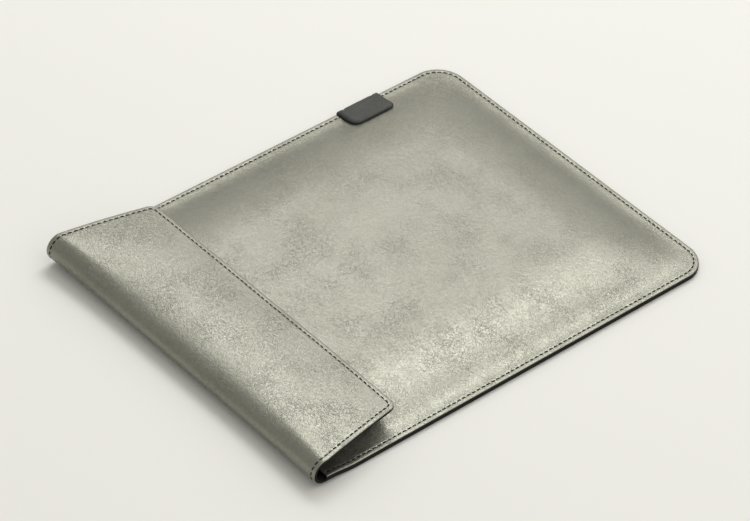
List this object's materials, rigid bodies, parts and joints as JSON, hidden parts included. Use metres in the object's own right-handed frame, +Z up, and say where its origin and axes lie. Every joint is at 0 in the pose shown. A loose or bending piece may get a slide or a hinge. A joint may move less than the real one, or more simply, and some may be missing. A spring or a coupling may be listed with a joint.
{
  "type": "tablet sleeve",
  "caption": "Slim envelope sleeve for a tablet in pewter leather, with a wide fold-over flap at its open short end and a small side tag.",
  "frame": {"origin": "middle of the outer box, on the plane that the sleeve rests on", "axes": "+X across the width, +Y along the length towards the closed end, +Z up out of the front panel; the fold and the flap are at -Y"},
  "size_m": [0.2302, 0.2972, 0.0192],
  "materials": {
    "leather": "smooth metallic pewter leather, satin, fine creases",
    "lining": "black brushed microfibre",
    "edge_paint": "black edge paint, semi-matte",
    "thread": "black waxed polyester thread",
    "tag": "charcoal moulded tag, matte"
  },
  "bodies": {
    "pocket": {"back_leather": "leather", "front_leather": "leather", "back_lining": "lining", "front_lining": "lining", "body_edge_paint": "edge_paint", "mouth_edge_paint": "edge_paint", "seam_needle_thread": "thread", "seam_bobbin_thread": "thread", "mouth_needle_thread": "thread", "mouth_bobbin_thread": "thread", "side_tag": "tag"},
    "fold_lower": {"fold_leather_lower": "leather", "fold_lining_lower": "lining", "fold_edge_paint_lower": "edge_paint", "fold_needle_thread_lower": "thread", "fold_bobbin_thread_lower": "thread"},
    "fold_middle": {"fold_leather_middle": "leather", "fold_lining_middle": "lining", "fold_edge_paint_middle": "edge_paint", "fold_needle_thread_middle": "thread", "fold_bobbin_thread_middle": "thread"},
    "fold_upper": {"fold_leather_upper": "leather", "fold_lining_upper": "lining", "fold_edge_paint_upper": "edge_paint", "fold_needle_thread_upper": "thread", "fold_bobbin_thread_upper": "thread"},
    "flap": {"flap_leather": "leather", "flap_lining": "lining", "flap_edge_paint": "edge_paint", "flap_needle_thread": "thread", "flap_bobbin_thread": "thread"}
  },
  "joints": [
    {"name": "fold_bend_1", "type": "hinge", "parent": "pocket", "child": "fold_lower", "pos_m": [0, -0.14, 0.0029], "axis": [1, 0, 0], "range_deg": [-0.4, 30], "deforming": ["fold_leather_lower", "fold_lining_lower", "fold_edge_paint_lower", "fold_needle_thread_lower", "fold_bobbin_thread_lower"]},
    {"name": "fold_bend_2", "type": "hinge", "parent": "fold_lower", "child": "fold_middle", "pos_m": [0, -0.14658, 0.0067], "axis": [1, 0, 0], "range_deg": [-0.8, 60], "deforming": ["fold_leather_middle", "fold_lining_middle", "fold_edge_paint_middle", "fold_needle_thread_middle", "fold_bobbin_thread_middle"]},
    {"name": "fold_bend_3", "type": "hinge", "parent": "fold_middle", "child": "fold_upper", "pos_m": [0, -0.14658, 0.0143], "axis": [1, 0, 0], "range_deg": [-0.8, 60], "deforming": ["fold_leather_upper", "fold_lining_upper", "fold_edge_paint_upper", "fold_needle_thread_upper", "fold_bobbin_thread_upper"]},
    {"name": "fold_bend_4", "type": "hinge", "parent": "fold_upper", "child": "flap", "pos_m": [0, -0.14, 0.0181], "axis": [1, 0, 0], "range_deg": [-0.4, 30]}
  ],
  "couplings": [
    {"joint": "fold_bend_2", "follows": "fold_bend_1", "ratio": 2},
    {"joint": "fold_bend_3", "follows": "fold_bend_1", "ratio": 2},
    {"joint": "fold_bend_4", "follows": "fold_bend_1", "ratio": 1}
  ]
}
